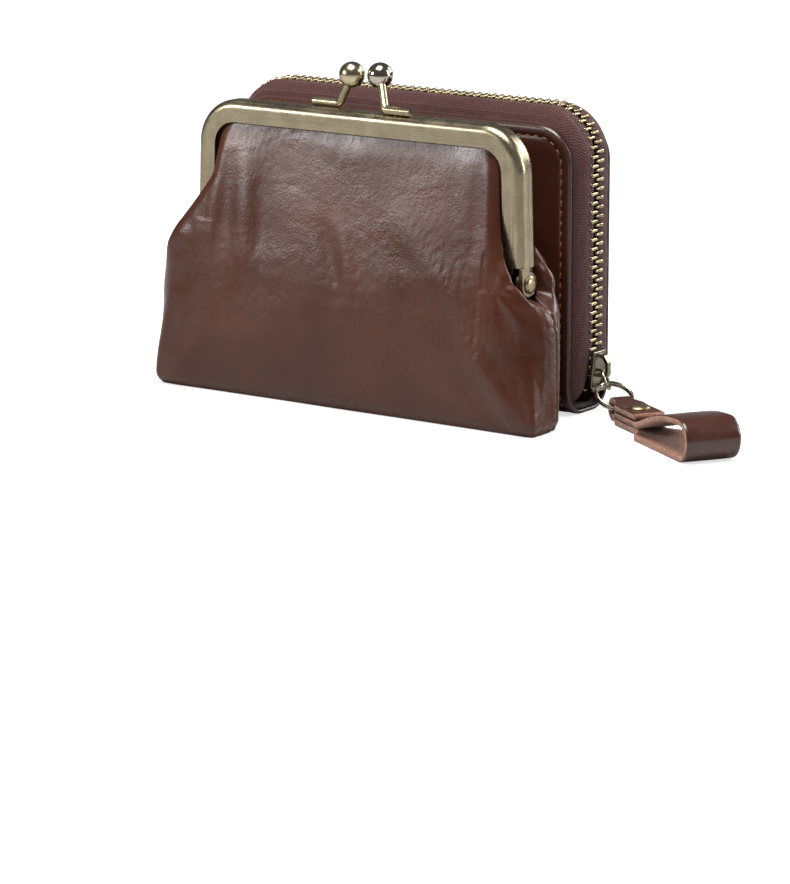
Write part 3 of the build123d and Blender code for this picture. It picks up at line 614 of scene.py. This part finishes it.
def along(points, pitch, start=0.0):
    """Evenly pitched positions and tangents on a polyline."""
    p = np.asarray(points, float)
    seg = np.linalg.norm(np.diff(p, axis=0), axis=1)
    s = np.concatenate([[0], np.cumsum(seg)])
    out = []
    g = start
    while g < s[-1]:
        c = np.array([np.interp(g, s, p[:, k]) for k in range(p.shape[1])])
        e = np.array([np.interp(min(g + 0.3, s[-1]), s, p[:, k]) for k in range(p.shape[1])])
        b = np.array([np.interp(max(g - 0.3, 0), s, p[:, k]) for k in range(p.shape[1])])
        out.append((c, e - b))
        g += pitch
    return out


# ------------------------------------------------------------------ wallet cover: one strip of leather
HALF_W, TOP, FOLD, R_C, T_C = 55.0, 77.5, 7.0, 10.5, 1.6
PLATE = TOP - FOLD
ARC = FOLD * math.pi / 2
BASE = 6.0
STRIP = 2 * PLATE + 2 * ARC + BASE


def strip_at(s):
    """(y, z) and outward normal on the strip's outer face at path length s."""
    if s < PLATE:
        return (-10.0, TOP - s), (-1.0, 0.0)
    s -= PLATE
    if s < ARC:
        a = s / FOLD
        return (-3.0 - FOLD * math.cos(a), FOLD - FOLD * math.sin(a)), (-math.cos(a), -math.sin(a))
    s -= ARC
    if s < BASE:
        return (-3.0 + s, 0.0), (0.0, -1.0)
    s -= BASE
    if s < ARC:
        a = s / FOLD
        return (3.0 + FOLD * math.sin(a), FOLD - FOLD * math.cos(a)), (math.sin(a), -math.cos(a))
    s -= ARC
    return (10.0, FOLD + s), (1.0, 0.0)


def corner_dist(x, s):
    """Distance inside the strip's rounded outline."""
    hx, hs = HALF_W - R_C, STRIP / 2 - R_C
    dx, ds = np.abs(x) - hx, np.abs(s - STRIP / 2) - hs
    out = np.hypot(np.maximum(dx, 0), np.maximum(ds, 0)) + np.minimum(np.maximum(dx, ds), 0)
    return R_C - out


insets = [0, 0.12, 0.3, 0.55, 0.85, 1.3, 1.9, 2.35, 2.6, 2.8, 3.0, 3.2, 3.4, 3.7, 4.2, 5.2, 7, 9.5, 13, 18, 24, 31, 39, 47]
ends = [0, 0.12, 0.3, 0.55, 0.85, 1.3, 1.9, 2.35, 2.6, 2.8, 3.0, 3.2, 3.4, 3.7, 4.2, 5, 6, 7, 8, 9, 10, 11.5, 14, 18, 23, 29, 36, 44, 52, 60, 66]
srow = ends + list(np.linspace(PLATE - 2, PLATE + ARC + 1, 14)) + [STRIP / 2 - 1.2]
srow = sorted(srow + [STRIP - v for v in srow] + [STRIP / 2])
SPLIT = PLATE + ARC + BASE * 0.75
srow = sorted(srow + [SPLIT])


def cover_mesh(name, rows, probe, sign):
    verts, uvs, nc = [], [], 2 * len(insets) + 1
    for s in rows:
        e = min(s, STRIP - s)
        w = HALF_W if e >= R_C else HALF_W - R_C + math.sqrt(max(R_C**2 - (R_C - e) ** 2, 0.0))
        cols = [-(w - i * w / HALF_W) for i in insets] + [0.0] + [(w - i * w / HALF_W) for i in insets][::-1]
        (y, z), n = strip_at(s)
        for x in cols:
            d = float(corner_dist(x, s))
            off = 0.0
            off -= 0.75 * max(0.0, 1 - d / 0.85) ** 2.2
            off += 0.10 * math.exp(-(((d - 1.7) / 0.9) ** 2))
            off -= 0.26 * math.exp(-(((d - 3.0) / 0.42) ** 2))
            if s < PLATE or s > STRIP - PLATE:
                off += 0.35 * min(1.0, max(0.0, (d - 4) / 18)) * (1 if s > STRIP / 2 else 0.3)
                off += 0.10 * float(lattice(np.array([[x / 19, s / 15]]), 5)[0]) * min(1, max(0, (d - 3) / 6))
                off = min(off, 0.30) if s < PLATE else off
            else:
                off = min(off, 0.0)
            verts.append((x, y + n[0] * off, max(z + n[1] * off, 0.0)))
            uvs.append((x, s))
    o = mesh_obj(name, verts, grid_faces(len(rows), nc), [M_COVER, M_LINING, M_EDGE], uvs)
    bm = bmesh.new()
    bm.from_mesh(o.data)
    bmesh.ops.recalc_face_normals(bm, faces=bm.faces)
    bm.faces.ensure_lookup_table()
    near = min(bm.faces, key=lambda f: (f.calc_center_median() - Vector(probe)).length)
    if near.normal.y * sign < 0:
        bmesh.ops.reverse_faces(bm, faces=bm.faces)
    bm.to_mesh(o.data)
    bm.free()
    sol = o.modifiers.new("thickness", "SOLIDIFY")
    sol.thickness = 1.35 * MM
    sol.offset = -1
    sol.material_offset = 1
    sol.material_offset_rim = 2
    return o


cover_front = cover_mesh("cover_leather_front", [v for v in srow if v <= SPLIT], (0, -0.010, 0.045), -1)
cover_rear = cover_mesh("cover_leather_rear", [v for v in srow if v >= SPLIT], (0, 0.010, 0.045), 1)
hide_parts("front_cover")
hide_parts("rear_fold", "back_cover")
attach(cover_front, "front_half")
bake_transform(cover_rear)


def cover_stitches(front):
    pts = []
    i = 3.0
    r = R_C - i
    s_end = PLATE + ARC * 0.75
    line = [(HALF_W - i, s) for s in np.linspace(s_end, R_C, 40)]
    line += [(HALF_W - R_C + r * math.cos(a), R_C - r * math.sin(a)) for a in np.linspace(0, math.pi / 2, 14)[1:]]
    line += [(x, i) for x in np.linspace(HALF_W - R_C, -HALF_W + R_C, 40)[1:]]
    line += [(-HALF_W + R_C - r * math.sin(a), R_C - r * math.cos(a)) for a in np.linspace(0, math.pi / 2, 14)[1:]]
    line += [(-HALF_W + i, s) for s in np.linspace(R_C, s_end, 40)[1:]]
    out = []
    for c, t in along(line, 2.75, 0.8):
        x, s = c
        s2 = s if front else STRIP - s
        (y, z), n = strip_at(s2)
        (y1, z1), _ = strip_at(s2 + 0.05)
        (y0, z0), _ = strip_at(s2 - 0.05)
        ds = t[1] if front else -t[1]
        tan = (t[0], (y1 - y0) / 0.1 * ds, (z1 - z0) / 0.1 * ds)
        out.append(((x, y - n[0] * 0.13, z - n[1] * 0.13), tan, (0, n[0], n[1])))
    return out


st_front = stitch_mesh("cover_stitches_front", cover_stitches(True), M_THREAD)
st_back = stitch_mesh("cover_stitches_back", cover_stitches(False), M_THREAD)
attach(st_front, "front_half")
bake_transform(st_back)

# side seam of the pouch: a fine row of stitches each side, on the front panel
places = []
for sx in (1, -1):
    for P, N, tgt in ((PF, PFN, -28.0),):
        for z in np.arange(2.2, 31.0, 2.1):
            r = int(np.argmin(np.abs(P[6:, P.shape[1] // 2, 2] - z))) + 6
            mid_c = P.shape[1] // 2
            half = slice(mid_c + 1, P.shape[1]) if sx > 0 else slice(0, mid_c)
            c = int(np.argmin(np.abs(P[r, half, 1] - tgt) + (np.abs(P[r, half, 0]) < 50) * 50)) + (mid_c + 1 if sx > 0 else 0)
            t = P[min(r + 2, len(P) - 1), c] - P[r - 2, c]
            places.append((P[r, c] + N[r, c] * 0.02, t, N[r, c]))
seam_stitches = stitch_mesh("pouch_seam_stitches", places, M_THREAD, 0.16, 1.3)
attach(seam_stitches, "front_half")


# ------------------------------------------------------------------ zip tapes
def arch_line(half, top, radius, feet, n_side=58, n_arc=16, n_top=70):
    """Right foot, up, over and down to the left foot."""
    right, left = feet
    pts = [(half, z) for z in np.linspace(right, top - radius, n_side)]
    pts += [(half - radius + radius * math.cos(a), top - radius + radius * math.sin(a))
            for a in np.linspace(0, math.pi / 2, n_arc)[1:]]
    pts += [(x, top) for x in np.linspace(half - radius, -half + radius, n_top)[1:]]
    pts += [(-half + radius - radius * math.sin(a), top - radius + radius * math.cos(a))
            for a in np.linspace(0, math.pi / 2, n_arc)[1:]]
    pts += [(-half, z) for z in np.linspace(top - radius, left, n_side)[1:]]
    return np.array(pts)


def tape_mesh(name, side, cut):
    rows = [
        # |y|, half width, top, radius; both feet are worked out from |y| below
        (8.75, 53.7, 76.2, 9.3), (8.45, 54.35, 76.9, 9.9), (8.1, 54.9, 77.9, 10.4), (7.5, 55.45, 79.1, 11.2),
        (6.8, 55.95, 80.2, 11.9), (6.0, 56.35, 81.0, 12.5), (5.2, 56.62, 81.6, 12.9), (4.4, 56.78, 81.95, 13.2),
        (3.6, 56.82, 82.1, 13.3), (3.0, 56.80, 82.05, 13.3), (2.4, 56.78, 82.0, 13.3), (1.7, 56.72, 81.95, 13.25),
        (1.15, 56.65, 81.9, 13.2),
    ]
    verts, uvs = [], []
    first = None
    for y, w, top, r in rows:
        t = (8.75 - y) / 7.6
        foot = 3.6 + cut * t ** 1.5
        line = arch_line(w, top, r, (foot, 4.0 + 3.5 * t))
        if first is None:
            d = np.concatenate([[0], np.cumsum(np.linalg.norm(np.diff(line, axis=0), axis=1))])
            first = d
        for (x, z), u in zip(line, first):
            wob = 0.10 * math.sin(u * 0.55 + y) + 0.07 * math.sin(u * 0.23)
            g = math.hypot(x, z - 35)
            k = wob * min(1, (8.75 - y) / 2) * min(1, max(0, (y - 2.5) / 2))
            verts.append((x * (1 + k / g), side * y, z + k * (z - 35) / g))
            uvs.append((u, 8.75 - y + (y < 8) * 0.6))
    n = len(first)
    o = mesh_obj(name, verts, grid_faces(len(rows), n, flip=side > 0), [M_TAPE, M_TAPE], uvs)
    bm = bmesh.new()
    bm.from_mesh(o.data)
    top_face = max(bm.faces, key=lambda f: f.calc_center_median().z)
    if top_face.normal.z < 0:
        bmesh.ops.reverse_faces(bm, faces=bm.faces)
    bm.to_mesh(o.data)
    bm.free()
    s = o.modifiers.new("thickness", "SOLIDIFY")
    s.thickness = 0.55 * MM
    s.offset = -1
    return o


tape_f = tape_mesh("zip_tape_front", -1, 11.5)
tape_b = tape_mesh("zip_tape_back", 1, 5.0)
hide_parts("zipper_tape_front")
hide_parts("zipper_tape_back")
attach(tape_f, "front_half")
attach(tape_b, "back_half")

# ------------------------------------------------------------------ zip teeth
CH_X, CH_TOP, CH_R, PITCH = 56.25, 81.65, 12.95, 2.45
chain = arch_line(CH_X, CH_TOP, CH_R, (9.6, 9.6), 120, 60, 200)
cl = np.concatenate([[0], np.cumsum(np.linalg.norm(np.diff(chain, axis=0), axis=1))])


def tooth_block():
    """One formed tooth: clamped root, waist and rounded head, unit along Y from 0 to 1."""
    prof = [(0.0, 0.78, 0.80), (0.10, 1.0, 1.0), (0.42, 1.0, 1.0), (0.56, 0.86, 0.92), (0.70, 0.90, 0.90), (0.90, 0.80, 0.84), (1.0, 0.48, 0.60)]
    verts, faces, ring = [], [], 12
    for y, wz, wx in prof:
        for k in range(ring):
            a = 2 * math.pi * (k + 0.5) / ring
            cx, cz = math.cos(a), math.sin(a)
            m = (abs(cx) ** 4 + abs(cz) ** 4) ** -0.25
            verts.append((cx * m * wx, y, cz * m * wz))
    faces += grid_faces(len(prof), ring, wrap=True)
    faces.append(tuple(range(ring)))
    faces.append(tuple(len(prof) * ring - 1 - k for k in range(ring)))
    return np.array(verts), faces


TB, TF = tooth_block()


def teeth_mesh(name, side, phase):
    verts, faces = [], []
    g = phase * PITCH
    while g < cl[-1]:
        x, z = np.interp(g, cl, chain[:, 0]), np.interp(g, cl, chain[:, 1])
        x2, z2 = np.interp(min(g + 0.2, cl[-1]), cl, chain[:, 0]), np.interp(min(g + 0.2, cl[-1]), cl, chain[:, 1])
        x1, z1 = np.interp(max(g - 0.2, 0), cl, chain[:, 0]), np.interp(max(g - 0.2, 0), cl, chain[:, 1])
        t = np.array([x2 - x1, z2 - z1])
        t /= np.linalg.norm(t)
        nrm = np.array([t[1], -t[0]])
        v = TB.copy()
        half_t, half_w, length = 1.05, 0.52, 3.5
        along_y = side * (2.95 - v[:, 1] * length)
        lx = v[:, 0] * half_t
        lt = v[:, 2] * half_w
        X = x + nrm[0] * (lx + 0.10) + t[0] * lt
        Z = z + nrm[1] * (lx + 0.10) + t[1] * lt
        base = len(verts)
        verts += list(zip(X, along_y, Z))
        faces += [tuple(base + i for i in f) for f in TF]
        g += PITCH
    o = mesh_obj(name, verts, faces, [M_ZIP])
    bm = bmesh.new()
    bm.from_mesh(o.data)
    bmesh.ops.recalc_face_normals(bm, faces=bm.faces)
    bm.to_mesh(o.data)
    bm.free()
    b = o.modifiers.new("soft_edges", "BEVEL")
    b.width = 0.10 * MM
    b.segments = 2
    b.limit_method = "ANGLE"
    b.angle_limit = math.radians(50)
    return o


teeth_f = teeth_mesh("zip_teeth_front", -1, 0.25)
teeth_b = teeth_mesh("zip_teeth_back", 1, 0.75)
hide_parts("zipper_teeth_front")
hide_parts("zipper_teeth_back")
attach(teeth_f, "front_half")
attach(teeth_b, "back_half")

# ------------------------------------------------------------------ wrist strap
FOLD_C = np.array([67.8453, -4.12081])
DIR = np.array([0.84, -0.5426]) / math.hypot(0.84, 0.5426)
SIDE = np.array([-DIR[1], DIR[0]])
T_S = 1.7


def strap_path():
    a = [(17.5, 5.6), (12.0, 5.6), (6.8, 5.62), (3.0, 6.05), (0.6, 6.38)]
    fold = [(3.2 * math.cos(t), 3.2 + 3.2 * math.sin(t)) for t in np.linspace(math.pi / 2, 1.5 * math.pi, 15)]
    low = [(s, 0.0) for s in np.linspace(2, 49, 26)]
    end = [(50 + 5.6 * math.cos(t), 5.6 + 5.6 * math.sin(t)) for t in np.linspace(-math.pi / 2, math.pi / 2, 21)]
    up = [(45.5, 10.95), (40, 10.25), (34, 8.7), (28, 6.55), (24, 5.15), (20.6, 4.1), (18.1, 3.72), (15, 3.7), (9, 3.7), (3.3, 3.7)]
    return np.array(a + fold + low + end + up)


path = through(strap_path(), 210)
tan = np.gradient(path, axis=0)
tan /= np.linalg.norm(tan, axis=1, keepdims=True)
# the flesh side lies to the left of the way the path runs
inn = np.column_stack([-tan[:, 1], tan[:, 0]])
width = hermite([-10, 1.2, 5.5, 18.5, 24.5, 80], [2.5, 2.5, 4.3, 4.3, 7.6, 7.6], path[:, 0])
verts, fm = [], []
# across: grain side with softened edges, raw edge, flesh side, raw edge
cols = [(-1.0, 0.25), (-0.965, 0.06), (-0.9, 0.0), (-0.45, -0.04), (0.0, -0.05), (0.45, -0.04), (0.9, 0.0), (0.965, 0.06), (1.0, 0.25),
        (1.0, 0.55), (1.0, 0.95), (1.0, 1.35), (0.97, T_S), (0.5, T_S), (0.0, T_S), (-0.5, T_S), (-0.97, T_S), (-1.0, 1.35), (-1.0, 0.95), (-1.0, 0.55)]
kind = [0, 0, 0, 0, 0, 0, 0, 0, 1, 1, 1, 1, 1, 1, 1, 1, 1, 1, 1, 1]
nc = len(cols)
for i, (p, n, w) in enumerate(zip(path, inn, width)):
    for j, (a, d) in enumerate(cols):
        rough = 0.0
        if kind[j] and abs(a) > 0.9:
            rough = 0.10 * float(lattice(np.array([[i * 0.9, j * 1.7]]), 41)[0])
        s, h = p[0] + n[0] * d, max(p[1] + n[1] * d, 0.02)
        off = a * w + math.copysign(rough, a)
        q = FOLD_C + DIR * s + SIDE * off
        verts.append((q[0], q[1], h))
faces = grid_faces(len(path), nc, wrap=True)
fm = [kind[c] for _ in range(len(path) - 1) for c in range(nc)]
faces.append(tuple(range(nc)))
faces.append(tuple((len(path) - 1) * nc + k for k in range(nc))[::-1])
fm += [1, 1]
strap = mesh_obj("wrist_strap_leather", verts, faces, [M_STRAP, M_SUEDE], None, fm)
bm = bmesh.new()
bm.from_mesh(strap.data)
bmesh.ops.recalc_face_normals(bm, faces=bm.faces)
bm.to_mesh(strap.data)
bm.free()
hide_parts("wrist_strap")
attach(strap, "strap")

# ------------------------------------------------------------------ stage, light and camera
floor_m = Nodes("floor")
fl = floor_m.done(
    floor_m.ramp(floor_m.noise(floor_m.coords(), 3, 2), [(0.0, (0.50, 0.50, 0.50)), (1.0, (0.54, 0.54, 0.54))]),
    0.9, None, Specular_IOR_Level=0.0, Emission_Strength=0.0, Emission_Color=(1, 1, 1, 1),
)
_lp = floor_m.n("ShaderNodeLightPath")
floor_m.l(floor_m.math("MULTIPLY", _lp.outputs["Is Camera Ray"], 0.66), floor_m.b.inputs["Emission Strength"])
floor = mesh_obj("floor", [(-6000, -6000, -0.02), (6000, -6000, -0.02), (6000, 6000, -0.02), (-6000, 6000, -0.02)],
                 [(0, 1, 2, 3)], [fl], smooth=False)

world = bpy.data.worlds.new("studio")
bpy.context.scene.world = world
world.use_nodes = True
wt = world.node_tree
bg = wt.nodes["Background"]
bg.inputs["Color"].default_value = (1, 1, 1, 1)
bg.inputs["Strength"].default_value = 0.11
bg2 = wt.nodes.new("ShaderNodeBackground")
bg2.inputs["Color"].default_value = (1, 1, 1, 1)
bg2.inputs["Strength"].default_value = 1.05
lp = wt.nodes.new("ShaderNodeLightPath")
mx = wt.nodes.new("ShaderNodeMixShader")
wt.links.new(lp.outputs["Is Camera Ray"], mx.inputs[0])
wt.links.new(bg.outputs[0], mx.inputs[1])
wt.links.new(bg2.outputs[0], mx.inputs[2])
wt.links.new(mx.outputs[0], wt.nodes["World Output"].inputs["Surface"])


def area(name, loc, target, size, power, size_y=None):
    d = bpy.data.lights.new(name, "AREA")
    d.shape = "RECTANGLE"
    d.size = size
    d.size_y = size_y or size
    d.energy = power
    o = bpy.data.objects.new(name, d)
    bpy.context.scene.collection.objects.link(o)
    o.location = loc
    o.rotation_euler = (Vector(target) - Vector(loc)).to_track_quat("-Z", "Y").to_euler()
    return o


az, el, roll = math.radians(35.31), math.radians(12.70), 0.0
back = Vector((math.sin(az) * math.cos(el), -math.cos(az) * math.cos(el), math.sin(el)))
right = Vector((math.cos(az), math.sin(az), 0))
up = back.cross(right)
P0 = Vector((0, -0.010, 0.040))

area("softbox_left", P0 + Vector((-0.66, -0.76, 0.34)), P0 + Vector((0, 0, 0.02)), 0.30, 5.2, 0.20)
area("softbox_top", P0 + Vector((0.02, -0.22, 0.85)), P0, 0.50, 15.0)
area("softbox_right", P0 + right * 0.85 + back * 0.10 + Vector((0, 0, 0.30)), P0, 0.16, 5.0, 0.55)

area("softbox_back", P0 + Vector((0.35, 0.95, 0.45)), P0, 0.45, 6.0, 0.45)

cam_d = bpy.data.cameras.new("camera")
cam_d.lens = 36 * 4084 / 884
cam_d.sensor_width = 36
cam_d.sensor_fit = "AUTO"
cam_d.clip_start = 0.01
cam_d.clip_end = 100
cam = bpy.data.objects.new("camera", cam_d)
bpy.context.scene.collection.objects.link(cam)
loc = P0 + back * 1.106 - right * 0.00111 - up * 0.0523
m = Matrix((
    (right.x, up.x, back.x, loc.x),
    (right.y, up.y, back.y, loc.y),
    (right.z, up.z, back.z, loc.z),
    (0, 0, 0, 1),
))
cam.matrix_world = m
bpy.context.scene.camera = cam
bpy.context.scene.view_settings.view_transform = "Standard"
